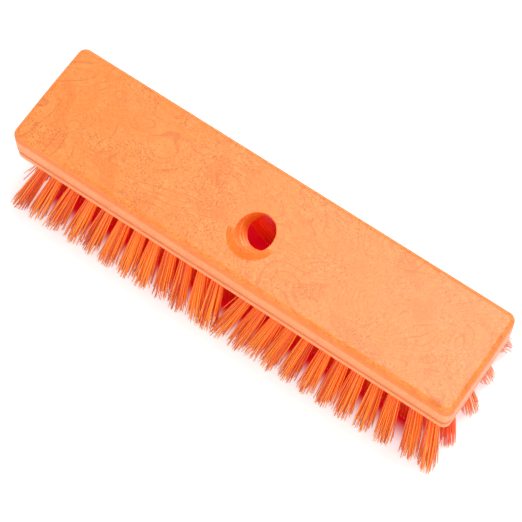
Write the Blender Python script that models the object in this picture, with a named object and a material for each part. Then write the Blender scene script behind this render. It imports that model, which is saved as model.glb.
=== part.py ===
"""Deck brush: a moulded plastic block with a slanted handle hole, and five rows of stapled bristle tufts.

Frame: metres, +Z up, +X along the block, -Y towards the side that the handle leans to.
The origin is on the floor, under the middle of the block, and the brush stands on its bristle tips.
"""

import math

import bmesh
import bpy
import numpy as np
from mathutils import Matrix, Vector

# Block
LENGTH = 0.254
WIDTH = 0.060
BLOCK_THICKNESS = 0.0222
CORNER_RADIUS = 0.0045
END_BOW = 0.0003
TOP_EDGE_RADIUS = 0.003
NOTCH_DEPTH = 0.0007
NOTCH_HEIGHT = 0.0008
NOTCH_FLANK = 0.0014
EDGE_BREAK = 0.0005
LIP_HEIGHT = 0.0048
LIP_INSET = 0.0003
GROOVE_WIDTH = 0.0018
GROOVE_DEPTH = 0.0010
GROOVE_SLOPE = 0.0003

# Handle hole, which runs through the block and leans towards -Y as it rises.
# It sits a little to the right of the block's own middle.
HOLE_X = 0.0009
BORE_DIAMETER = 0.0193
BORE_TILT = math.radians(27.5)
BORE_TOP_Y = -0.0053
SEAT_DIAMETER = 0.0264
SEAT_RISE = 0.0018

# Bristle field: rows along X, each in a left and a right half, with an open middle at FIELD_X
TRIM = 0.0381
ROW_COUNT = 5
ROW_EDGE = 0.008
FIELD_X = 0.0028
TUFTS_PER_HALF = 12
FIRST_TUFT = 0.0099
TUFT_PITCH = 0.0094
TUFT_HOLE_DIAMETER = 0.005
TUFT_HOLE_DEPTH = 0.008
SLICE_WALL = 0.0005
BORE_WALL = 0.0005

# Lean of the tufts: how far a tip lies from the point under its root. Rows flare out to the sides, and each
# half fans out to its end. The whole field leans to the left, most in the middle. The tips of the two halves
# meet at MEETING_X, and the tufts next to the handle hole lean under it.
ROW_FLARE = 0.0162
FAN_OUTER = 0.0097
FAN_INNER = 0.0072
LEAN_OUTER = -0.0016
LEAN_INNER = -0.0050
MEETING_X = -0.0027
MEETING_GAP = 0.0004
UNDER_HOLE = 0.0064

# Strands that stand for a tuft's filaments, and the flat wire staple that holds it
STRANDS_PER_TUFT = 4
STRAND_SIDES = 3
STRAND_RADIUS = 0.00082
ROOT_SPREAD = 0.00125
TIP_SPREAD = 0.0018
STRAND_BURIED = 0.0008
TUFT_TURN = math.radians(28)
STAPLE_LENGTH = 0.004
STAPLE_THICKNESS = 0.0006
STAPLE_HEIGHT = 0.0012

# Fit between pieces that touch, and how far a cutter reaches past the face it opens
CLEARANCE = 0.0003
REACH = 0.004

# Smoothness
CORNER_STEPS = 6
END_STEPS = 6
TOP_EDGE_STEPS = 4
BORE_SEGMENTS = 36
SLICE_END_STEPS = 6
SHARP_ANGLE = math.radians(35)

# Levels at which the space round the handle hole and between the strands is measured
CHECK_LEVELS = 12

OUTERMOST_ROW = (ROW_COUNT - 1) / 2
BLOCK_TOP = TRIM + BLOCK_THICKNESS
ROW_PITCH = (WIDTH - 2 * ROW_EDGE) / (ROW_COUNT - 1)
SLICE_RADIUS = TUFT_HOLE_DIAMETER / 2 + SLICE_WALL
SLOT_HEIGHT = TUFT_HOLE_DEPTH + STAPLE_HEIGHT + CLEARANCE
TIP_RADIUS = TIP_SPREAD + STRAND_RADIUS


def clear_scene():
    """Remove every object that the file holds."""
    for item in list(bpy.data.objects):
        bpy.data.objects.remove(item, do_unlink=True)


def make_material(name, colour, roughness):
    """A plain plastic or metal finish."""
    material = bpy.data.materials.new(name)
    material.use_nodes = True
    shader = material.node_tree.nodes["Principled BSDF"]
    shader.inputs["Base Color"].default_value = (*colour, 1.0)
    shader.inputs["Roughness"].default_value = roughness
    shader.inputs["Metallic"].default_value = 0.0
    material.diffuse_color = (*colour, 1.0)
    return material


def make_object(name, bm, material=None):
    """Turn a finished bmesh into an object of its own."""
    bmesh.ops.recalc_face_normals(bm, faces=bm.faces)
    mesh = bpy.data.meshes.new(name)
    bm.to_mesh(mesh)
    bm.free()
    item = bpy.data.objects.new(name, mesh)
    bpy.context.scene.collection.objects.link(item)
    if material:
        mesh.materials.append(material)
    return item


def make_cutter(name, bm):
    """An object that only cuts or adds to another, and isn't a piece itself."""
    item = make_object(name, bm)
    item.hide_render = True
    item.display_type = "WIRE"
    return item


def add_boolean(item, tool, operation):
    """Cut or join with a second object."""
    modifier = item.modifiers.new(tool.name, "BOOLEAN")
    modifier.object = tool
    modifier.operation = operation
    modifier.solver = "EXACT"


def block_outline(inset):
    """Corner points of the block's plan, drawn in by inset: rounded corners and slightly bowed ends."""
    half_length = LENGTH / 2 - inset
    half_width = WIDTH / 2 - inset
    radius = CORNER_RADIUS - inset
    points = []
    for quarter in range(4):
        sign_x = 1 if quarter in (0, 3) else -1
        sign_y = 1 if quarter in (0, 1) else -1
        centre = Vector((sign_x * (half_length - radius), sign_y * (half_width - radius)))
        start = quarter * math.pi / 2
        for step in range(CORNER_STEPS + 1):
            angle = start + step / CORNER_STEPS * math.pi / 2
            points.append(centre + radius * Vector((math.cos(angle), math.sin(angle))))
        if quarter in (1, 3):
            first = points[-1].y
            for step in range(1, END_STEPS):
                height = first * (1 - 2 * step / END_STEPS)
                points.append(Vector((points[-1].x, height)))
    bowed = []
    for point in points:
        over_end = max(0.0, abs(point.x) - (half_length - radius)) / radius
        pull = END_BOW * over_end * (point.y / half_width) ** 2
        bowed.append(Vector((point.x - math.copysign(pull, point.x), point.y)))
    return bowed


def block_profile():
    """Inset and height of each ring, from the underside up to the top face.

    The wall rises from the groove to a shallow notch, and the rounded top edge overhangs it.
    """
    groove_top = LIP_HEIGHT + GROOVE_WIDTH
    groove_floor = LIP_INSET + GROOVE_DEPTH
    shoulder = BLOCK_THICKNESS - TOP_EDGE_RADIUS
    rings = [
        (LIP_INSET + EDGE_BREAK, 0.0),
        (LIP_INSET, EDGE_BREAK),
        (LIP_INSET, LIP_HEIGHT),
        (groove_floor, LIP_HEIGHT + GROOVE_SLOPE),
        (groove_floor, groove_top - GROOVE_SLOPE),
        (GROOVE_SLOPE, groove_top),
        (0.0, groove_top + GROOVE_SLOPE),
        (0.0, shoulder - NOTCH_HEIGHT - NOTCH_FLANK),
        (NOTCH_DEPTH, shoulder - NOTCH_HEIGHT),
    ]
    for step in range(TOP_EDGE_STEPS + 1):
        angle = step / TOP_EDGE_STEPS * math.pi / 2
        inset = TOP_EDGE_RADIUS * (1 - math.cos(angle))
        rings.append((inset, shoulder + TOP_EDGE_RADIUS * math.sin(angle)))
    return rings


def loft(bm, loops):
    """Skin closed loops of equal point counts, and close both ends."""
    rings = [[bm.verts.new(point) for point in loop] for loop in loops]
    for lower, upper in zip(rings, rings[1:]):
        count = len(lower)
        for index in range(count):
            following = (index + 1) % count
            bm.faces.new((lower[index], lower[following], upper[following], upper[index]))
    bm.faces.new(list(reversed(rings[0])))
    bm.faces.new(rings[-1])


def bore_frame():
    """Place of the handle hole: its local Z is the handle's axis, with zero where it meets the top face."""
    return Matrix.Translation((HOLE_X, BORE_TOP_Y, BLOCK_TOP)) @ Matrix.Rotation(BORE_TILT, 4, "X")


def bore_cutter():
    """The bore and the flat seat round its mouth, turned as one stepped body."""
    depth = BLOCK_THICKNESS / math.cos(BORE_TILT) + BORE_DIAMETER + REACH
    above = SEAT_DIAMETER + REACH
    profile = [
        (BORE_DIAMETER / 2, -depth),
        (BORE_DIAMETER / 2, SEAT_RISE),
        (SEAT_DIAMETER / 2, SEAT_RISE),
        (SEAT_DIAMETER / 2, above),
    ]
    frame = bore_frame()
    loops = []
    for radius, height in profile:
        loop = []
        for index in range(BORE_SEGMENTS):
            angle = 2 * math.pi * index / BORE_SEGMENTS
            loop.append(frame @ Vector((radius * math.cos(angle), radius * math.sin(angle), height)))
        loops.append(loop)
    bm = bmesh.new()
    loft(bm, loops)
    return make_cutter("cutter_handle_hole", bm)


def bore_distance(x, y):
    """Least distance from a tuft hole's axis to the wall of the handle hole, over the height of its slot."""
    least = math.inf
    for level in range(CHECK_LEVELS + 1):
        below_top = BLOCK_THICKNESS - SLOT_HEIGHT * level / CHECK_LEVELS
        axis_y = BORE_TOP_Y + below_top * math.tan(BORE_TILT)
        across = (y - axis_y) * math.cos(BORE_TILT)
        least = min(least, math.hypot(x - HOLE_X, across) - BORE_DIAMETER / 2)
    return least


def row_tufts(row, side):
    """Numbers of the tufts that a half row has, from the middle out, leaving out those in the bore's way."""
    needed = SLICE_RADIUS + CLEARANCE + BORE_WALL
    kept = []
    for number in range(1, TUFTS_PER_HALF + 1):
        root = tuft_root(row, side, number)
        if bore_distance(root.x, root.y) >= needed:
            kept.append(number)
    return kept


def tuft_root(row, side, number):
    """Where a tuft leaves the underside of the block."""
    along = FIRST_TUFT + (number - 1) * TUFT_PITCH
    return Vector((FIELD_X + side * along, row * ROW_PITCH, TRIM))


def tuft_tip(row, side, number):
    """Where the tuft's middle reaches the floor: fanned along the row and flared across it."""
    root = tuft_root(row, side, number)
    share = (number - 1) / (TUFTS_PER_HALF - 1)
    fan = -FAN_INNER + (FAN_INNER + FAN_OUTER) * share
    lean = LEAN_INNER + (LEAN_OUTER - LEAN_INNER) * share
    x = root.x + side * fan + lean
    if number == 1:
        x = MEETING_X + side * (TIP_RADIUS + MEETING_GAP / 2)
    elif number == row_tufts(row, side)[0]:
        x = HOLE_X + side * UNDER_HOLE
    return Vector((x, root.y + ROW_FLARE * row / OUTERMOST_ROW, 0))


def slot_loops(row, side, radius, bottom, top):
    """Two outlines with round ends that hold one half row of tufts."""
    tufts = row_tufts(row, side)
    ends = sorted(tuft_root(row, side, number).x for number in (tufts[0], tufts[-1]))
    y = row * ROW_PITCH
    flat = []
    for end, centre in enumerate(reversed(ends)):
        start = -math.pi / 2 + end * math.pi
        for step in range(SLICE_END_STEPS + 1):
            angle = start + step / SLICE_END_STEPS * math.pi
            flat.append((centre + radius * math.cos(angle), y + radius * math.sin(angle)))
    return [[Vector((px, py, z)) for px, py in flat] for z in (bottom, top)]


def mirrored(row, side, angle):
    """Unit vector at an angle, mirrored so that the left matches the right and the front the back."""
    return Vector((side * math.cos(angle), math.copysign(1, row) * math.sin(angle), 0))


def strand_lines(row, side, number):
    """Root point, tip point and turn of each strand of one tuft, spreading from its root to its tips."""
    root = tuft_root(row, side, number)
    tip = tuft_tip(row, side, number)
    lines = []
    for index in range(STRANDS_PER_TUFT):
        turn = TUFT_TURN + 2 * math.pi * index / STRANDS_PER_TUFT
        direction = mirrored(row, side, turn)
        lines.append((root + ROOT_SPREAD * direction, tip + TIP_SPREAD * direction, turn))
    return lines


def add_tuft(bm, row, side, number):
    """The strands of one tuft: each starts inside the slice, and its foot is cut level with the floor."""
    for start, end, turn in strand_lines(row, side, number):
        buried = start + (start - end) * STRAND_BURIED / TRIM
        loops = []
        for centre in (end, buried):
            angles = [turn + 2 * math.pi * corner / STRAND_SIDES for corner in range(STRAND_SIDES)]
            loops.append([centre + STRAND_RADIUS * mirrored(row, side, angle) for angle in angles])
        loft(bm, loops)


def add_staple(bm, row, side, number):
    """The flat wire staple over the fold of a tuft, biting into the block above its hole."""
    root = tuft_root(row, side, number)
    base = root.z + TUFT_HOLE_DEPTH
    loops = []
    for z in (base - STAPLE_HEIGHT, base + STAPLE_HEIGHT):
        loops.append([Vector((root.x + sx * STAPLE_LENGTH / 2, root.y + sy * STAPLE_THICKNESS / 2, z))
                      for sx, sy in ((-1, -1), (1, -1), (1, 1), (-1, 1))])
    loft(bm, loops)


def build_block(material):
    """The moulded block, with a slot in its underside for each half row of bristles."""
    bm = bmesh.new()
    loft(bm, [[Vector((p.x, p.y, TRIM + height)) for p in block_outline(inset)]
              for inset, height in block_profile()])
    block = make_object("brush_block", bm, material)
    add_boolean(block, bore_cutter(), "DIFFERENCE")

    slots = bmesh.new()
    for row, side in half_rows():
        loft(slots, slot_loops(row, side, SLICE_RADIUS + CLEARANCE, TRIM - REACH, TRIM + SLOT_HEIGHT))
    add_boolean(block, make_cutter("cutter_row_slots", slots), "DIFFERENCE")
    block.data.shade_smooth()
    block.data.set_sharp_from_angle(angle=SHARP_ANGLE)
    return block


def half_rows():
    """Row and side of each half row, front row first; a row is counted out from the middle of the block."""
    return [(index - OUTERMOST_ROW, side) for index in range(ROW_COUNT) for side in (-1, 1)]


def half_row_name(row, side):
    """Name by place, such as front, inner_front and middle, and the half of the block."""
    place = "middle"
    if row:
        place = "inner_" * int(OUTERMOST_ROW - abs(row)) + ("front" if row < 0 else "back")
    return "bristles_%s_%s" % (place, "left" if side < 0 else "right")


def build_half_row(row, side, material):
    """One half row of bristles, fused to the slice of the block that its tufts are set in."""
    name = half_row_name(row, side)
    bm = bmesh.new()
    loft(bm, slot_loops(row, side, SLICE_RADIUS, TRIM, TRIM + TUFT_HOLE_DEPTH))
    piece = make_object(name, bm, material)

    strands = bmesh.new()
    staples = bmesh.new()
    for number in row_tufts(row, side):
        add_tuft(strands, row, side, number)
        add_staple(staples, row, side, number)
    add_boolean(piece, make_cutter(name + "_strands", strands), "UNION")
    add_boolean(piece, make_cutter(name + "_staples", staples), "UNION")
    return piece


def least_strand_gap():
    """Smallest space between any two strands, measured level by level from the block to the floor."""
    lines = [line for row, side in half_rows() for number in row_tufts(row, side)
             for line in strand_lines(row, side, number)]
    starts = np.array([line[0] for line in lines])
    ends = np.array([line[1] for line in lines])
    least = math.inf
    for share in np.linspace(0, 1, CHECK_LEVELS + 1):
        points = starts + (ends - starts) * share
        apart = np.linalg.norm(points[:, None] - points[None], axis=2)
        np.fill_diagonal(apart, math.inf)
        least = min(least, apart.min() - 2 * STRAND_RADIUS)
    return least


def main():
    clear_scene()
    block_plastic = make_material("moulded_orange_plastic", (0.97, 0.38, 0.13), 0.45)
    bristle_plastic = make_material("orange_bristle", (0.95, 0.20, 0.03), 0.40)
    build_block(block_plastic)
    for row, side in half_rows():
        build_half_row(row, side, bristle_plastic)
    tufts = sum(len(row_tufts(row, side)) for row, side in half_rows())
    print("tufts", tufts, "strands", tufts * STRANDS_PER_TUFT)
    print("least gap between strands, mm:", round(least_strand_gap() * 1000, 2))


main()
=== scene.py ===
# %% [markdown]
# # Deck brush
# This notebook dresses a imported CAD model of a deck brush: a moulded orange block with a slanted, threaded
# handle hole, standing on five rows of stiff filaments. The CAD model is loaded first and stays fixed.
# Every surface made here is worked out in metres, in the same frame, so nothing has to be moved into place.

# %% Load the frame
import math

import bpy
import numpy as np
from mathutils import Euler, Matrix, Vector


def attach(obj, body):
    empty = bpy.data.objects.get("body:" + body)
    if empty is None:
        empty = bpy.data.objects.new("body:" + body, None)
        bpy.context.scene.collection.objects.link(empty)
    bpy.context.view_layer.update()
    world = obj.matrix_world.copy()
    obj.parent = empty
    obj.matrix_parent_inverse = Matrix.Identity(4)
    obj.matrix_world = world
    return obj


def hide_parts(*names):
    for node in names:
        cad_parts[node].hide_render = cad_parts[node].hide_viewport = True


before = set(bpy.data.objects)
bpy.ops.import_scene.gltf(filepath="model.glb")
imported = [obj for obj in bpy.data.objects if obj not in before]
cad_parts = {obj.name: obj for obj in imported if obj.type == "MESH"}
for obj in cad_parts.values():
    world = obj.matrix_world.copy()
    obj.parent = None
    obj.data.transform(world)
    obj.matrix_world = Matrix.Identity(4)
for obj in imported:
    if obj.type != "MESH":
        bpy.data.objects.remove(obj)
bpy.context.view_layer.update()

# %% [markdown]
# ## Sizes of the block
# The block is a bar with rounded corners. These lengths are the ones that the CAD model has, so that the
# finer surface below lies where the plain solid lies.

# %% Sizes of the block
LENGTH, WIDTH, THICKNESS = 0.254, 0.060, 0.0222
TRIM = 0.0381
TOP = TRIM + THICKNESS
CORNER = 0.0045
END_BOW = 0.0003
EDGE_ROUND = 0.003
print("block from", TRIM, "to", round(TOP, 4), "m above the floor")

# %% [markdown]
# ## From arrays to a mesh
# A grid of points is the simplest description of a smooth surface: row by row and column by column, each
# small square of the grid becomes one face. numpy numbers the corners of all the squares at once, so there
# is no loop over points, however fine the grid is. Every grid here goes round something, so its last column
# is joined to the first one, and where it also closes the other way, so is its last row.


# %% Make a mesh from arrays
def grid_faces(rows, columns, close_rows=False):
    """Corner numbers of the squares of a grid whose columns close.

    Point (i, j) has number i * columns + j, and the remainder of a division closes the grid.
    """
    i = np.arange(rows if close_rows else rows - 1)[:, None]
    j = np.arange(columns)[None, :]
    below, right = (i + 1) % rows, (j + 1) % columns
    corners = (i * columns + j, i * columns + right, below * columns + right, below * columns + j)
    return np.stack([np.broadcast_to(c, (len(i), columns)) for c in corners], -1).reshape(-1, 4)


def make_piece(name, points, faces, smooth=True):
    """A mesh object at the origin, whose place is in its points."""
    mesh = bpy.data.meshes.new(name)
    mesh.from_pydata(points.reshape(-1, 3).tolist(), [], faces.tolist())
    mesh.polygons.foreach_set("use_smooth", np.full(len(mesh.polygons), smooth))
    mesh.validate()
    piece = bpy.data.objects.new(name, mesh)
    bpy.context.scene.collection.objects.link(piece)
    return piece


def shell_volume(points, faces):
    """Signed volume of a closed shell.

    Each half of a square face makes a thin pyramid with the origin, of a sixth of the triple product of its
    corners, and these are summed. The sum is negative if the faces look inwards.
    """
    p = points.reshape(-1, 3)[faces]
    first = np.einsum("ij,ij->i", p[:, 0], np.cross(p[:, 1], p[:, 2]))
    second = np.einsum("ij,ij->i", p[:, 0], np.cross(p[:, 2], p[:, 3]))
    return (first.sum() + second.sum()) / 6


print("a grid of 3 by 4 points has", len(grid_faces(3, 4)), "faces when its columns close")

# %% [markdown]
# ## Plan of the block
# Seen from above, the block is a rectangle with small round corners. One list of directions and one list
# of corner centres give every outline of it: a point is its corner centre plus the radius in its direction,
# and an outline drawn in by some millimetres only has a smaller radius. So all the outlines have the same
# number of points, and they can be skinned into one surface.

# %% Plan of the block
LONG_STEPS, SHORT_STEPS, CORNER_STEPS = 72, 30, 12


def outline_cores():
    """Corner centre and outward direction of each outline point, anticlockwise from the right end.

    Only the back half is worked out. The front half is the same turned by half a turn, so its sign changes.
    """
    hx, hy = LENGTH / 2 - CORNER, WIDTH / 2 - CORNER
    side = np.arange(1, SHORT_STEPS // 2)[:, None] / (SHORT_STEPS // 2)
    back = np.arange(1, LONG_STEPS)[:, None] / LONG_STEPS
    turn = np.arange(CORNER_STEPS + 1) / CORNER_STEPS * math.pi / 2
    arc = np.stack([np.cos(turn), np.sin(turn)], 1)
    cores, ways = [[[hx, 0.0]], side * [0, hy] + [hx, 0]], [[[1.0, 0.0]], side * 0 + [1, 0]]
    cores += [arc * 0 + [hx, hy], np.array([hx, hy]) - back * [2 * hx, 0], arc * 0 + [-hx, hy]]
    ways += [arc, back * 0 + [0, 1], arc[::-1] * [-1, 1]]
    cores += [np.array([-hx, hy]) - side * [0, hy]]
    ways += [side * 0 + [-1, 0]]
    half_cores, half_ways = np.concatenate(cores), np.concatenate(ways)
    return np.concatenate([half_cores, -half_cores]), np.concatenate([half_ways, -half_ways])


CORES, WAYS = outline_cores()


def outline(inset):
    """Outline drawn in by inset, with ends that bow.

    A point of an end stands back by the bow times the square of its share of the half width.
    """
    xy = CORES + WAYS * (CORNER - inset)
    over = np.clip((np.abs(xy[:, 0]) - (LENGTH / 2 - CORNER)) / CORNER, 0, 1)
    pull = END_BOW * over * (xy[:, 1] / (WIDTH / 2)) ** 2
    return np.stack([xy[:, 0] - np.sign(xy[:, 0]) * pull, xy[:, 1]], 1)


print("points round the block:", len(CORES))

# %% [markdown]
# ## Edge profile
# The block comes out of a mould with a generously rounded top edge, a notch where that rounding ends, a
# plain wall, and a groove above the lower lip. The profile is the cut through this edge: pairs of inset and
# height, with a few points at each bend, so that smooth shading shows a soft edge and leaves the flat parts
# flat.

# %% Edge profile
LIP_HEIGHT, LIP_INSET = 0.0048, 0.0003
GROOVE_WIDTH, GROOVE_DEPTH, GROOVE_SLOPE = 0.0018, 0.0010, 0.0003
NOTCH_DEPTH, NOTCH_HEIGHT, NOTCH_FLANK = 0.0007, 0.0008, 0.0014
BEND_REACH, BEND_STEPS, MOST_OF_A_SIDE = 0.00035, 4, 0.45


def soften(corners):
    """Replace each inner corner of a polyline by a short curve.

    The curve is a quadratic Bezier that starts one reach before the corner and ends one reach after it, or
    at a share of a short side, so that neighbouring curves stay apart.
    """
    corners = np.array(corners)
    share = np.linspace(0, 1, BEND_STEPS + 1)[:, None]
    parts = [corners[:1]]
    for before, corner, after in zip(corners, corners[1:], corners[2:]):
        back, on = before - corner, after - corner
        start = corner + back * min(MOST_OF_A_SIDE, BEND_REACH / np.linalg.norm(back))
        end = corner + on * min(MOST_OF_A_SIDE, BEND_REACH / np.linalg.norm(on))
        parts.append((1 - share) ** 2 * start + 2 * share * (1 - share) * corner + share ** 2 * end)
    return np.concatenate(parts + [corners[-1:]])


def edge_profile():
    """Inset and height above the underside, from the flat top outwards and down to the underside."""
    turn = np.linspace(math.pi / 2, 0, 13)
    shoulder = THICKNESS - EDGE_ROUND
    rounding = np.stack([EDGE_ROUND * (1 - np.cos(turn)), shoulder + EDGE_ROUND * np.sin(turn)], 1)
    groove_top, floor = LIP_HEIGHT + GROOVE_WIDTH, LIP_INSET + GROOVE_DEPTH
    wall = soften([(0.0, shoulder), (NOTCH_DEPTH, shoulder - NOTCH_HEIGHT),
                   (0.0, shoulder - NOTCH_HEIGHT - NOTCH_FLANK), (0.0, groove_top),
                   (floor, groove_top - GROOVE_SLOPE), (floor, LIP_HEIGHT + GROOVE_SLOPE),
                   (LIP_INSET, LIP_HEIGHT), (LIP_INSET, 0.0), (LIP_INSET + 0.001, 0.0)])
    # Two rows on the flat top and one on the underside, close to the bends, keep the flat parts flat.
    flat = [(EDGE_ROUND + 0.0012, THICKNESS), (EDGE_ROUND + 0.0003, THICKNESS)]
    return np.concatenate([flat, rounding, wall[1:], [(LIP_INSET + 0.0015, 0.0)]])


PROFILE = edge_profile()
print("points down the edge:", len(PROFILE))

# %% [markdown]
# ## Handle hole
# The hole leans to the front, so that the handle does. It is easiest to describe from its own axis: a point
# has an angle round the axis, a radius, and a height along it. A coarse screw thread is then only a radius
# that changes with height minus a share of the angle, and the flat seat round the mouth is the lower one of
# two planes, the seat square to the axis and the block's top. Boring it with a Boolean would work too, but
# then the thread and the rounded edges would meet the top in ragged faces.

# %% Handle hole
TILT = math.radians(27.5)
HOLE_X, HOLE_Y = 0.0009, -0.0053
BORE, CREST, SEAT = 0.00965, 0.00865, 0.0132
SEAT_RISE = 0.0018
# The thread's flank reaches from the first to the second share of a pitch, counted from the crest.
THREAD_PITCH, THREAD_FLANK = 0.00508, (0.13, 0.30)
# Depths below the mouth between which the thread grows, and heights above the exit between which it ends.
THREAD_START, THREAD_END = (0.003, 0.008), (0.0015, 0.0045)
EXIT_FLARE, EXIT_REACH = 0.0009, 0.0022
WALL_ROWS = 150


def from_axis(radius, angle, height):
    """World points from angle, radius and height along the hole's axis, counted from the top face."""
    x, y = radius * np.cos(angle), radius * np.sin(angle)
    across = y * math.cos(TILT) - height * math.sin(TILT)
    up = y * math.sin(TILT) + height * math.cos(TILT)
    return np.stack(np.broadcast_arrays(HOLE_X + x, HOLE_Y + across, TOP + up), -1)


def smoothstep(low, high, value):
    """Zero below low, one above high, and an S-shaped cubic between them."""
    share = np.clip((value - low) / (high - low), 0, 1)
    return share * share * (3 - 2 * share)


def top_height(radius, angle):
    """Height along the axis at which a radius and angle meet the block's top plane."""
    return -radius * np.sin(angle) * math.tan(TILT)


def seat_height(radius, angle):
    """The seat's plane or the top plane, whichever is lower, blended over a tenth of a millimetre."""
    plane, soft = top_height(radius, angle), 0.0001
    return 0.5 * (plane + SEAT_RISE - np.sqrt((plane - SEAT_RISE) ** 2 + soft ** 2))


def thread_radius(angle, height, depth, rise):
    """Radius of the threaded wall.

    The thread's phase is the height in pitches less the angle in turns. Near a whole phase the wall stands
    in to the crest, between them it lies at the root, and both flanks slope. It fades in some way below the
    mouth and out above the exit, where the wall flares a little.
    """
    phase = height / THREAD_PITCH - angle / (2 * math.pi)
    from_crest = np.abs(phase - np.round(phase))
    ridge = 1 - smoothstep(*THREAD_FLANK, from_crest)
    fade = smoothstep(*THREAD_START, depth) * smoothstep(*THREAD_END, rise)
    return BORE - (BORE - CREST) * ridge * fade + EXIT_FLARE * (1 - smoothstep(0.0, EXIT_REACH, rise))


def hole_rows(angle):
    """Rows of points up the threaded wall, over the mouth's edge, across the seat and up onto the top."""
    edge, rim, flat = 0.0004, 0.0003, 0.0004
    mouth = seat_height(BORE + edge, angle)
    # The lowest row lies on the underside.
    bottom = (-THICKNESS - (BORE + EXIT_FLARE) * np.sin(angle) * math.sin(TILT)) / math.cos(TILT)
    share = np.linspace(0, 1, WALL_ROWS)[:, None]
    height = bottom + (mouth - edge - bottom) * share
    wall = from_axis(thread_radius(angle, height, mouth - height, height - bottom), angle, height)

    turn = np.linspace(0, math.pi / 2, 6)[1:, None]
    radius = BORE + edge * (1 - np.cos(turn))
    lip = from_axis(radius, angle, mouth - edge * (1 - np.sin(turn)))

    radius = BORE + edge + (SEAT - BORE - edge) * np.linspace(0, 1, 9)[1:, None]
    seat = from_axis(radius, angle, seat_height(radius, angle))

    drop = top_height(SEAT, angle) - seat_height(SEAT, angle)
    small = np.minimum(rim, drop / 2)
    rise = np.linspace(0.15, 1, 4)[:, None]
    side = from_axis(SEAT, angle, seat_height(SEAT, angle) + (drop - small) * rise)
    radius = SEAT + small * (1 - np.cos(turn))
    over = from_axis(radius, angle, top_height(radius, angle) - small * (1 - np.sin(turn)))
    over[-1, :, 2] = TOP
    radius = SEAT + rim + flat
    last = from_axis(radius, angle, top_height(radius, angle))[None]
    return np.concatenate([wall, lip, seat, side, over, last])


# The angle round the hole for each outline point, evened out by squashing the block's plan to a square.
plan = CORES + WAYS * CORNER
HOLE_ANGLE = np.arctan2(plan[:, 1], plan[:, 0] * WIDTH / LENGTH)
angle_steps = np.degrees(np.diff(np.unwrap(HOLE_ANGLE)))
print("steps of the hole's angle, degrees:", angle_steps.min().round(2), "to", angle_steps.max().round(2))

# %% [markdown]
# ## The block in one surface
# The rows of the hole, the top face, the edge and the underside follow each other like the rings of a
# bent tyre: the last row joins the first one, so the whole block is one closed grid.

# %% Build the block
hole = hole_rows(HOLE_ANGLE)
edge = np.stack([np.column_stack([outline(inset), np.full(len(CORES), TRIM + height)])
                 for inset, height in PROFILE])
# Three rows on the underside, at these shares of the way from its edge to the hole.
inward = np.array([0.35, 0.75, 0.985])[:, None, None]
underside = edge[-1] + (hole[0] - edge[-1]) * inward
block_points = np.concatenate([hole, edge, underside])
block_faces = grid_faces(len(block_points), len(CORES), close_rows=True)
if shell_volume(block_points, block_faces) < 0:
    block_faces = block_faces[:, ::-1]
block = make_piece("moulded_block", block_points, block_faces)
block.data.set_sharp_from_angle(angle=math.radians(50))
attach(block, "root")
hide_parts("brush_block")
volume = shell_volume(block_points, block_faces) * 1e6
print("block:", len(block_faces), "faces,", round(volume, 1), "cubic centimetres")

# %% [markdown]
# ## A small language for materials
# A shader is a formula. This class wraps one output of a node, and Python's own operators add the Math
# nodes, so a pattern reads like the formula that it is. Colours never pass through a Math node, which would
# turn them grey: they are mixed by a Mix node.


# %% Shader helper
class Wire:
    """One output socket in a material, on which + - * and the methods below add nodes."""

    def __init__(self, paint, socket):
        self.paint, self.socket = paint, socket

    def math(self, operation, *others):
        """Add a Math node, with this wire as its first input and the others after it."""
        return self.paint.add("ShaderNodeMath", {"operation": operation}, dict(enumerate((self, *others))))

    def __add__(self, other):
        return self.math("ADD", other)

    def __sub__(self, other):
        return self.math("SUBTRACT", other)

    def __rsub__(self, other):
        return (self * -1.0).math("ADD", other)

    def __mul__(self, other):
        return self.math("MULTIPLY", other)

    __radd__, __rmul__ = __add__, __mul__

    def step(self, low, high):
        """Zero below low, one above high, smooth between them."""
        inputs = {"Value": self, "From Min": low, "From Max": high}
        return self.paint.add("ShaderNodeMapRange", {"interpolation_type": "SMOOTHSTEP"}, inputs)


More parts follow.
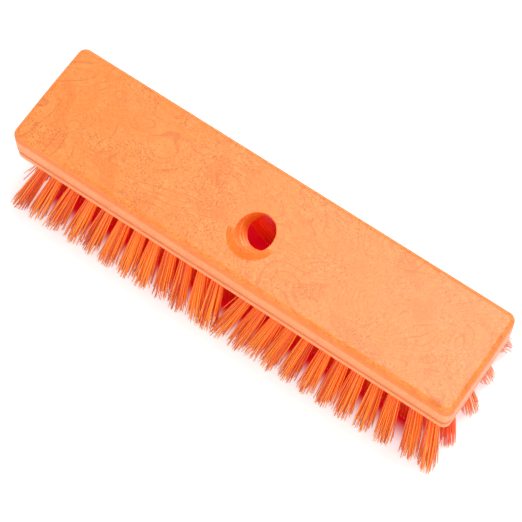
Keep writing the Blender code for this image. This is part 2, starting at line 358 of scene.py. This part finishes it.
class Paint:
    """A material with one Principled shader, and one method that adds every other node."""

    def __init__(self, name, **constants):
        self.material = bpy.data.materials.new(name)
        self.material.use_nodes = True
        self.tree = self.material.node_tree
        self.shader = self.tree.nodes["Principled BSDF"]
        for socket, value in constants.items():
            self.shader.inputs[socket.replace("_", " ")].default_value = value
        self.place = self.add("ShaderNodeTexCoord", output="Object")

    def add(self, kind, settings=None, inputs=None, output=0):
        """Make a node: its settings first, then a value or a link for each named or numbered socket."""
        node = self.tree.nodes.new(kind)
        for key, value in (settings or {}).items():
            setattr(node, key, value)
        for key, value in (inputs or {}).items():
            self.feed(node.inputs[key], value)
        return Wire(self, node.outputs[output])

    def feed(self, socket, value):
        """Link a wire to a socket, or set the socket's own value."""
        if isinstance(value, Wire):
            self.tree.links.new(value.socket, socket)
        else:
            socket.default_value = value

    def axes(self, names):
        """One wire for each named axis of the object coordinates."""
        return [self.add("ShaderNodeSeparateXYZ", {}, {"Vector": self.place}, axis) for axis in names]

    def noise(self, scale, detail, distortion, vector=None):
        """Cloudy values round one half, in features of about one over scale metres."""
        inputs = {"Scale": scale, "Detail": detail, "Distortion": distortion, "Vector": vector or self.place}
        return self.add("ShaderNodeTexNoise", {"normalize": True}, inputs)

    def stretched(self, scale, turn=(0, 0, 0)):
        """Object coordinates turned and scaled, so that a pattern runs in one direction."""
        return self.add("ShaderNodeMapping", {}, {"Vector": self.place, "Scale": scale, "Rotation": turn})

    def mix(self, share, first, second):
        """Colour between two colours."""
        first, second = (value if isinstance(value, Wire) else (*value, 1.0) for value in (first, second))
        # A Mix node has its colours in sockets 6 and 7, and gives the mixed colour from socket 2.
        return self.add("ShaderNodeMix", {"data_type": "RGBA"}, {0: share, 6: first, 7: second}, output=2)

    def finish(self, **wires):
        """Link wires to the shader's own sockets; bump is a height in metres."""
        height = wires.pop("bump", None)
        if height:
            inputs = {"Strength": 1.0, "Distance": 1.0, "Height": height}
            wires["Normal"] = self.add("ShaderNodeBump", {}, inputs)
        for socket, value in wires.items():
            self.feed(self.shader.inputs[socket.replace("_", " ")], value)


def srgb(red, green, blue):
    """Linear colour from the 0 to 255 values that a screen shows.

    Above a small value, the linear one is the power 2.4 of the value plus 0.055, over 1.055.
    """
    value = np.array([red, green, blue]) / 255
    linear = np.where(value <= 0.04045, value / 12.92, ((value + 0.055) / 1.055) ** 2.4)
    return tuple(float(v) for v in linear)


BLACK = (0.0, 0.0, 0.0)


print("mid orange, linear:", [round(v, 3) for v in srgb(252, 160, 92)])

# %% [markdown]
# ## Moulded orange plastic
# Foamed plastic with pigment in it shows faint swirls where the melt flowed and cooled, thin flow lines
# like the rings of a tree, and a fine skin of specks. The colour swings only a little. The gloss does as
# well: the skin is satin, and the swirls show in it as patches that are slightly more or less rough. A
# photo could be laid on the block too, but it would also carry the photo's own light, so each of these
# marks is a noise pattern of its own size. A painted sheen makes the sides paler, and painted shade makes
# the notch and the groove deeper orange. The hole's wall and the underside have a painted glow.

# %% Block material
# Heights above the floor between which the painted sheen and shade of the side, or the painted glow of the
# hole's wall, fade in.
PAINTED_SHEEN_BELOW = (0.0560, 0.0540)
NOTCH_SHADE_ABOVE, NOTCH_SHADE_BELOW = (0.0542, 0.0562), (0.0602, 0.0586)
GROOVE_SHADE_ABOVE, GROOVE_SHADE_BELOW = (0.0408, 0.0424), (0.0490, 0.0454)
WALL_GLOW_BELOW, EXIT_GLOW_BELOW = (0.0600, 0.0570), (0.0422, 0.0396)
# How far the painted sheen and shade of the sides reach in over the rounded edge.
RIM = 0.0018
STAIN_X, STAIN_Y, STAIN_SQUASH = 0.0884, 0.0068, 1.25

plastic = Paint("moulded_orange_plastic", Specular_IOR_Level=0.42, Emission_Strength=0.14)
swirl = plastic.noise(38, 3, 1.6, plastic.stretched((1.0, 1.5, 1.0), (0, 0, 0.5)))
cloud = plastic.noise(14, 2, 0.6)
patch = plastic.noise(260, 3, 0.8)
speck = plastic.noise(1250, 2, 0.4)
grain = plastic.noise(2600, 1, 0.0)
# Flow lines: a cloudy value counted off in even steps, each step's edge a thin line.
flow = plastic.noise(17, 1, 0.9, plastic.stretched((1.0, 1.3, 1.0), (0, 0, 0.9))) * 26.0
line = (flow.math("PINGPONG", 0.5) * -1.0 + 0.5).step(0.36, 0.5)
# Specks crowd in some zones, and in others the skin is smooth. A few smooth stains have a clear edge.
crowd = 0.58 + 0.52 * plastic.noise(30, 2, 1.0).step(0.40, 0.58)
stain = plastic.noise(34, 1, 1.4).step(0.57, 0.60)
tone = plastic.mix(swirl.step(0.30, 0.70), srgb(255, 140, 56), srgb(255, 151, 70))
tone = plastic.mix(cloud.step(0.35, 0.70) * 0.5, tone, srgb(255, 151, 74))
tone = plastic.mix(patch.step(0.50, 0.70) * 0.4, tone, srgb(250, 129, 49))
tone = plastic.mix(stain * 0.6, tone, srgb(250, 130, 48))
tone = plastic.mix(speck.step(0.54, 0.66) * crowd * 0.75, tone, srgb(204, 104, 44))
tone = plastic.mix(speck.step(0.46, 0.34) * crowd * 0.65, tone, srgb(255, 172, 102))
tone = plastic.mix(line * swirl.step(0.40, 0.54) * 0.6, tone, srgb(222, 110, 46))
# The largest stain lies near the right end: the distance from its middle, made uneven by noise.
x, y, z = plastic.axes("XYZ")
from_x, from_y = (x - STAIN_X) * STAIN_SQUASH, y - STAIN_Y
reach = (from_x * from_x + from_y * from_y).math("SQRT") + 0.020 * plastic.noise(85, 2, 1.2)
tone = plastic.mix(reach.step(0.0190, 0.0160) * 0.5, tone, srgb(252, 130, 42))
# The sides: a painted sheen makes them paler than the top, and painted shade makes them deeper orange in the
# notch and in the groove.
past_x, past_y = x.math("ABSOLUTE") - (LENGTH / 2 - RIM), y.math("ABSOLUTE") - (WIDTH / 2 - RIM)
past_rim = past_x.math("MAXIMUM", past_y)
outside, inner = past_rim.step(0.0, 0.0004), past_rim.step(0.0, -0.004)
notch_shade = z.step(*NOTCH_SHADE_ABOVE) * z.step(*NOTCH_SHADE_BELOW)
groove_shade = z.step(*GROOVE_SHADE_ABOVE) * z.step(*GROOVE_SHADE_BELOW)
tone = plastic.mix(outside * z.step(*PAINTED_SHEEN_BELOW) * 0.24, tone, srgb(255, 168, 120))
tone = plastic.mix(outside * notch_shade * 0.55, tone, srgb(240, 114, 34))
tone = plastic.mix(outside * groove_shade * 0.7, tone, srgb(226, 106, 48))
# Painted light: the hole's wall and the underside glow a little in their own shade, and the lowest part
# glows pinker, as if lit from the floor.
painted_glow = plastic.mix(inner * z.step(*WALL_GLOW_BELOW) * 0.8, BLACK, (1.0, 0.28, 0.02))
painted_glow = plastic.mix(inner * z.step(*EXIT_GLOW_BELOW), painted_glow, (1.0, 0.28, 0.16))
plastic.finish(Base_Color=tone, Emission_Color=painted_glow, Roughness=0.32 + 0.14 * swirl + 0.05 * speck,
               bump=swirl * 0.00006 + speck * 0.000036 + grain * 0.000008 - line * 0.000012)
block.data.materials.append(plastic.material)
print("block material nodes:", len(plastic.tree.nodes))

# %% [markdown]
# ## Where the tufts are
# The bristles stand in five rows, each with a left and a right half of twelve places, less the places that
# the handle hole takes. A tuft leans twice: its row flares to the front or back, and its number fans it
# along the row, inwards near the middle and outwards near the end.

# %% Places of the tufts
PER_HALF, FIELD_X = 12, 0.0028
FIRST_TUFT, TUFT_PITCH, ROW_PITCH = 0.0099, 0.0094, 0.011
ROW_FLARE, FAN_OUTER, FAN_INNER = 0.0162, 0.0097, 0.0072
LEAN_OUTER, LEAN_INNER = -0.0016, -0.0050
MEETING_X, HALF_MEETING, UNDER_HOLE = -0.0027, 0.0029, 0.0064

TENTH = 0.0001
# The front row's places are given one by one: how far its roots and tips stand from even places, in tenths
# of a millimetre along the block, from the left end to the right end.
FRONT_ROOTS = (7, -8, 4, 13, 15, 17, 13, 10, -2, -3, 0, -4,
               -5, -11, -12, -23, -25, -25, -27, -24, -20, -18, 0, 1)
FRONT_TIPS = (0, -15, 2, 13, 11, 12, 20, 12, 27, 28, 33, -1,
              2, 0, -15, -33, -36, -37, -32, -34, -31, -20, 6, 0)
# How far the last tip at the right end stands off, along and across, from the second row to the back one.
END_TIPS = ((9, -22), (17, -10), (-9, -15), (-18, -18))


def half_row(row, side):
    """Root and tip middles of a half row's tufts, in metres; row is counted from the middle of the block.

    A root is the row's middle plus so many pitches. A tip is its root plus a flare that grows with the row,
    a fan that grows with the number, and the lean that the whole field has. The first tufts of the two
    halves meet, and those beside the handle hole lean under it.
    """
    first = 2 if row in (0, 1) else 1
    number = np.arange(first, PER_HALF + 1)
    share = (number - 1) / (PER_HALF - 1)
    x = FIELD_X + side * (FIRST_TUFT + (number - 1) * TUFT_PITCH)
    fan = -FAN_INNER + (FAN_INNER + FAN_OUTER) * share
    tip_x = x + side * fan + LEAN_INNER + (LEAN_OUTER - LEAN_INNER) * share
    tip_x[0] = HOLE_X + side * UNDER_HOLE if first == 2 else MEETING_X + side * HALF_MEETING
    if row == -2:
        order = PER_HALF - number if side < 0 else PER_HALF + number - 1
        x = x + np.array(FRONT_ROOTS)[order] * TENTH
        tip_x = tip_x + np.array(FRONT_TIPS)[order] * TENTH
    y = row * ROW_PITCH
    root = np.stack([x, np.full(len(x), y), np.full(len(x), TRIM)], 1)
    tip = np.stack([tip_x, np.full(len(x), y + ROW_FLARE * row / 2), np.zeros(len(x))], 1)
    if side > 0 and row > -2:
        tip[-1, :2] += np.array(END_TIPS[row + 1]) * TENTH
    return root, tip


def half_row_name(row, side):
    """The CAD node's name for a half row."""
    place = "middle" if row == 0 else ("inner_" if abs(row) == 1 else "") + ("front" if row < 0 else "back")
    return "bristles_%s_%s" % (place, "left" if side < 0 else "right")


HALF_ROWS = [(row, side) for row in (-2, -1, 0, 1, 2) for side in (-1, 1)]
print("tufts:", sum(len(half_row(*key)[0]) for key in HALF_ROWS))

# %% [markdown]
# ## Filaments
# Each tuft is a bundle of nearly straight plastic filaments about 0.6 mm thick, folded in its hole and
# spreading towards the floor. No two end at quite the same height. A filament could be a curve with a
# bevel, but thousands of curve objects are slow, so all the filaments of a half row are one array: for
# each filament a middle line of a few points, and round each point a small ring of corners.

# %% Filament geometry
FILAMENTS, FILAMENT_RADIUS = 56, 0.00031
SIDES, RINGS = 5, 5
ROOT_RADIUS, TIP_SPREAD = 0.0027, 1.90
# No tip lies further than this to the front or back, and the roots reach this far into the block.
TIP_LIMIT, BURIED = 0.0423, 0.0015
# How much the tips are shaken one by one and tuft by tuft, and the middle lines are bowed, in metres.
SHAKE, DRIFT, BOW = 0.00032, 0.0005, 0.00035
# How much shorter a filament is than the tallest ones, as a share of its length.
SHORTER = 0.022
LAST_RING, FLOOR_GAP = 0.7, 0.00004
LEVEL = [1, 1, 0]


def tuft_lines(root, tip, random):
    """Middle lines of all the filaments of some tufts, as an array of filament, point and axis.

    The roots of a tuft lie on a sunflower spiral inside its hole: the square root of the number gives the
    distance and the golden angle the direction. The tips are the same pattern, spread wider and shaken. A
    line runs straight from root to tip, plus a bow that is a sine of the way along, in a random direction.
    """
    number = np.arange(FILAMENTS) + 0.5
    distance = np.sqrt(number / FILAMENTS)
    golden = number * math.pi * (3 - math.sqrt(5))
    spiral = np.stack([distance * np.cos(golden), distance * np.sin(golden)], 1)
    tufts = len(root)
    turn = random.uniform(0, 2 * math.pi, (tufts, 1))
    x = spiral[:, 0] * np.cos(turn) - spiral[:, 1] * np.sin(turn)
    y = spiral[:, 0] * np.sin(turn) + spiral[:, 1] * np.cos(turn)
    pattern = np.stack([x, y, x * 0], -1) * ROOT_RADIUS
    start = root[:, None] + pattern
    spread = TIP_SPREAD * random.uniform(0.92, 1.08, (tufts, 1, 1))
    shake = SHAKE * random.standard_t(4, (tufts, FILAMENTS, 3)) * LEVEL
    drift = random.normal(0, DRIFT, (tufts, 1, 3)) * LEVEL
    end = tip[:, None] + pattern * spread + shake + drift
    short = np.abs(random.normal(0, SHORTER, (tufts, FILAMENTS, 1)))
    end = end + (start - end) * short
    end[..., 1] = np.clip(end[..., 1], -TIP_LIMIT, TIP_LIMIT)
    start = start + (start - end) * BURIED / TRIM
    share = np.linspace(0, 1, RINGS)[:, None]
    bow = random.normal(0, BOW, (tufts, FILAMENTS, 1, 3)) * LEVEL
    lines = start[:, :, None] + (end - start)[:, :, None] * share + bow * np.sin(math.pi * share)
    return lines.reshape(-1, RINGS, 3)


# Root and tip of the loose filaments beside the first front tuft, in millimetres across the floor.
STRAYS = ((-112.0, -24.0, -129.5, -25.0), (-112.3, -23.0, -128.0, -22.5), (-111.8, -24.3, -127.5, -28.0))
MILLIMETRE, STRAY_TIP_HEIGHT = 0.001, 0.003


def stray_lines():
    """Straight middle lines from each loose filament's root to its tip, which stays clear of the floor."""
    ends = np.array(STRAYS) * MILLIMETRE
    root = np.column_stack([ends[:, :2], np.full(len(ends), TRIM + BURIED)])
    tip = np.column_stack([ends[:, 2:], np.full(len(ends), STRAY_TIP_HEIGHT)])
    return root[:, None] + (tip - root)[:, None] * np.linspace(0, 1, RINGS)[:, None]


def filament_mesh(lines, random):
    """Points and faces of round filaments along middle lines.

    Each ring lies square to the line's own direction: its two axes come from cross products with the
    direction. The last ring is narrower, and the ends are closed by one face each.
    """
    count = len(lines)
    along = lines[:, -1] - lines[:, 0]
    along /= np.linalg.norm(along, axis=1, keepdims=True)
    first = np.cross(along, [1.0, 0.3, 0.0])
    first /= np.linalg.norm(first, axis=1, keepdims=True)
    second = np.cross(along, first)
    angle = 2 * math.pi * np.arange(SIDES) / SIDES + random.uniform(0, 2 * math.pi, (count, 1))
    ring = np.cos(angle)[..., None] * first[:, None] + np.sin(angle)[..., None] * second[:, None]
    thick = np.ones(RINGS)
    thick[-1] = LAST_RING
    size = FILAMENT_RADIUS * random.uniform(0.85, 1.12, (count, 1, 1, 1)) * thick[:, None, None]
    points = lines[:, :, None] + ring[:, None] * size
    points[..., 2] = np.maximum(points[..., 2], FLOOR_GAP)
    starts = np.arange(count)[:, None] * RINGS * SIDES
    walls = (grid_faces(RINGS, SIDES) + starts[:, None]).reshape(-1, 4)
    cap = np.arange(SIDES)
    caps = np.concatenate([cap[::-1] + starts, cap + (RINGS - 1) * SIDES + starts])
    return points, walls, caps


def add_value(piece, name, values):
    """Store one number for each point, which the material reads by name."""
    attribute = piece.data.attributes.new(name, "FLOAT", "POINT")
    attribute.data.foreach_set("value", np.ascontiguousarray(values, dtype=np.float32).ravel())


def make_filaments(name, lines, random, depth):
    """One mesh of many filaments.

    Each point also stores its share of the way along, and its filament's tone and depth in the shade.
    """
    points, walls, caps = filament_mesh(lines, random)
    mesh = bpy.data.meshes.new(name)
    mesh.from_pydata(points.reshape(-1, 3).tolist(), [], walls.tolist() + caps.tolist())
    mesh.polygons.foreach_set("use_smooth", np.arange(len(mesh.polygons)) < len(walls))
    piece = bpy.data.objects.new(name, mesh)
    bpy.context.scene.collection.objects.link(piece)
    count = len(lines)
    shape = (count, RINGS, SIDES)
    add_value(piece, "along", np.broadcast_to(np.linspace(0, 1, RINGS)[:, None], shape))
    add_value(piece, "tone", np.broadcast_to(random.uniform(0, 1, (count, 1, 1)), shape))
    add_value(piece, "depth", np.broadcast_to(depth[:, None, None], shape))
    return piece


print("faces a filament:", (RINGS - 1) * SIDES + 2)

# %% [markdown]
# ## Filament plastic
# The filaments are drawn, not moulded: smooth and shiny along their length. Their plastic is clear with a
# day-glow dye, which takes in the blue and green of the light and gives it back as red. So the brush is
# deep red in its own shade, most of all near the block and in the inner rows. This shade is painted into
# the filaments: painted shade makes them redder near the block and in the inner rows, and dark on some
# filaments for the shadows between them. A red glow of their own is painted light that stands in for the
# dye. The cut ends are scuffed and split, which makes them pale.

# %% Filament material
bristle = Paint("orange_filament", Specular_IOR_Level=0.42, Emission_Strength=0.26)
along = bristle.add("ShaderNodeAttribute", {"attribute_name": "along"}, output="Fac")
tone_and_shade = bristle.add("ShaderNodeAttribute", {"attribute_name": "tone"}, output="Fac")
depth = bristle.add("ShaderNodeAttribute", {"attribute_name": "depth"}, output="Fac")
worn = (along + 0.06 * tone_and_shade).step(0.96, 1.05)
body = bristle.mix(tone_and_shade, srgb(255, 118, 18), srgb(255, 166, 52))
# Painted shade: redder near the block, where its lip shades the roots.
body = bristle.mix(along.step(0.65, 0.0) * 0.7, body, srgb(255, 102, 12))
# Painted shade: deep red on the tufts that stand deep in the shade of the others.
body = bristle.mix(depth * 0.6, body, srgb(232, 30, 4))
# Painted shade: some filaments are dark, for the shadows between filaments.
body = bristle.mix(tone_and_shade.step(0.28, 0.18) * 0.7, body, srgb(196, 58, 10))
streak = bristle.noise(1400, 1, 0.0, bristle.stretched((1.0, 1.0, 0.12)))
body = bristle.mix(streak.step(0.55, 0.75) * 0.4, body, srgb(250, 84, 12))
# Painted light: a red glow, strongest near the block and on the shaded tufts.
painted_glow = bristle.mix((1.0 - 0.5 * along) * (0.6 + 0.4 * depth), BLACK, (1.0, 0.03, 0.004))
body = bristle.mix(worn * 0.6, body, srgb(255, 226, 196))
bristle.finish(Base_Color=body, Emission_Color=painted_glow, Roughness=0.32 + 0.25 * worn)
print("filament material nodes:", len(bristle.tree.nodes))

# %% [markdown]
# ## Fill the rows
# Every half row is one piece, like its CAD node, with its own seed so that it always comes out the same.
# The tufts of the three inner rows stand deep in the shade of the others, which their filaments show as
# painted shade. Only the last ones of the middle row and of the row behind it reach out into the light.

# %% Build the filaments
FIRST_SEED = 100
LIT_PAST, LIT_FADE = {-1: 0.140, 0: 0.124, 1: 0.124}, 0.010
total = 0
for index, (row, side) in enumerate(HALF_ROWS):
    random = np.random.default_rng(FIRST_SEED + index)
    root, tip = half_row(row, side)
    name = half_row_name(row, side)
    lines = tuft_lines(root, tip, random)
    shaded = np.zeros(len(tip))
    if row in LIT_PAST:
        shaded = smoothstep(LIT_PAST[row], LIT_PAST[row] - LIT_FADE, np.abs(tip[:, 0]))
    depth = np.repeat(shaded, FILAMENTS)
    if (row, side) == (-2, -1):
        lines = np.concatenate([lines, stray_lines()])
        depth = np.append(depth, np.zeros(len(STRAYS)))
    piece = make_filaments(name.replace("bristles", "filaments"), lines, random, depth)
    piece.data.materials.append(bristle.material)
    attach(piece, "root")
    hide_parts(name)
    total += len(lines)
print("filaments:", total)

# %% [markdown]
# ## Floor and light
# The brush stands on a white sheet that has no visible edge. To the camera and to reflections the floor
# shines by itself, and far off it reaches a full white, while its plain diffuse part still takes the
# object's shadow. Under the brush the floor gets its light through the dyed filaments, so it is red there.
# That red is painted light: a red zone in the floor's colour and glow, which fades to white at the tips,
# shows this with far fewer bounces of light than the real path has. The light is a broad white sky with
# one large soft lamp above the back, and two weak ones low in front that reach the side and the tufts, so
# that colours come out about as written.

# %% Floor, light and world
FLOOR_HALF = 4.0
# Half the length and width of the zone of painted red light under the brush.
PAINTED_RED_X, PAINTED_RED_Y = 0.116, 0.033
floor_points = np.array([[-1, -1, 0], [1, -1, 0], [1, 1, 0], [-1, 1, 0]]) * FLOOR_HALF
floor = make_piece("floor", floor_points, np.array([[0, 1, 2, 3]]), smooth=False)
sheet = Paint("white_sheet", Base_Color=(0.80, 0.80, 0.80, 1.0), Roughness=0.9)
direct, mirrored, refracted = (sheet.add("ShaderNodeLightPath", output="Is %s Ray" % kind)
                               for kind in ("Camera", "Glossy", "Transmission"))
seen = direct.math("MAXIMUM", mirrored.math("MAXIMUM", refracted))
across, deep = (axis.math("ABSOLUTE") for axis in sheet.axes("XY"))
beyond = (across - PAINTED_RED_X).math("MAXIMUM", deep - PAINTED_RED_Y)
open_floor = beyond.step(-0.008, 0.004)
# Painted light: under the brush the floor's colour and glow are red.
sheet.finish(Base_Color=sheet.mix(open_floor, (0.84, 0.02, 0.03), (0.80, 0.80, 0.80)),
             Emission_Color=sheet.mix(open_floor, (0.24, 0.0, 0.01), (1.0, 1.0, 1.0)),
             Emission_Strength=seen * (0.55 + 0.45 * beyond.step(0.2, 1.2)))
floor.data.materials.append(sheet.material)

world = bpy.data.worlds.new("studio")
world.use_nodes = True
nodes, links = world.node_tree.nodes, world.node_tree.links
nodes["Background"].inputs["Color"].default_value = (1.0, 1.0, 1.0, 1.0)
direction = nodes.new("ShaderNodeSeparateXYZ")
links.new(nodes.new("ShaderNodeTexCoord").outputs["Generated"], direction.inputs["Vector"])
# The sky is bright near the horizon and dim overhead, where the softbox takes its place.
sky = nodes.new("ShaderNodeMapRange")
sky.interpolation_type = "SMOOTHSTEP"
for socket, value in {"From Min": 0.15, "From Max": 0.65, "To Min": 1.0, "To Max": 0.22}.items():
    sky.inputs[socket].default_value = value
links.new(direction.outputs["Z"], sky.inputs["Value"])
# The camera sees plain white instead.
view = nodes.new("ShaderNodeLightPath")
white = nodes.new("ShaderNodeMix")
links.new(view.outputs["Is Camera Ray"], white.inputs["Factor"])
links.new(sky.outputs["Result"], white.inputs["A"])
white.inputs["B"].default_value = 1.0
links.new(white.outputs["Result"], nodes["Background"].inputs["Strength"])
bpy.context.scene.world = world


LAMP_TARGET = (0, 0, 0.03)


def add_lamp(name, place, width, height, power):
    """A rectangular area lamp that faces the middle of the brush."""
    lamp = bpy.data.lights.new(name, "AREA")
    lamp.shape, lamp.size, lamp.size_y, lamp.energy = "RECTANGLE", width, height, power
    item = bpy.data.objects.new(name, lamp)
    item.location = place
    item.rotation_euler = (Vector(LAMP_TARGET) - Vector(place)).to_track_quat("-Z", "Y").to_euler()
    bpy.context.scene.collection.objects.link(item)


add_lamp("softbox", (0.10, 0.53, 1.46), 0.7, 0.7, 17.8)
add_lamp("right_fill", (0.95, -0.95, 0.25), 0.9, 0.35, 6.5)
add_lamp("left_fill", (-0.60, -1.15, 0.22), 0.7, 0.3, 3.6)
bpy.context.scene.view_settings.view_transform = "Standard"

# %% [markdown]
# ## Camera
# The camera looks down from the front right. Its place and turn were fitted to the edges of the block, the
# hole and the front row of tufts.

# %% Camera
lens = bpy.data.cameras.new("camera")
lens.sensor_width, lens.lens = 36.0, 145.52
lens.shift_x, lens.shift_y = -0.00096, 0.00096
camera = bpy.data.objects.new("camera", lens)
camera.location = (0.23221, -0.33093, 0.98078)
camera.rotation_euler = Euler([math.radians(angle) for angle in (22.67, 0.11, 34.69)], "XYZ")
bpy.context.scene.collection.objects.link(camera)
bpy.context.scene.camera = camera
print("camera distance, m:", round(camera.location.length, 3))
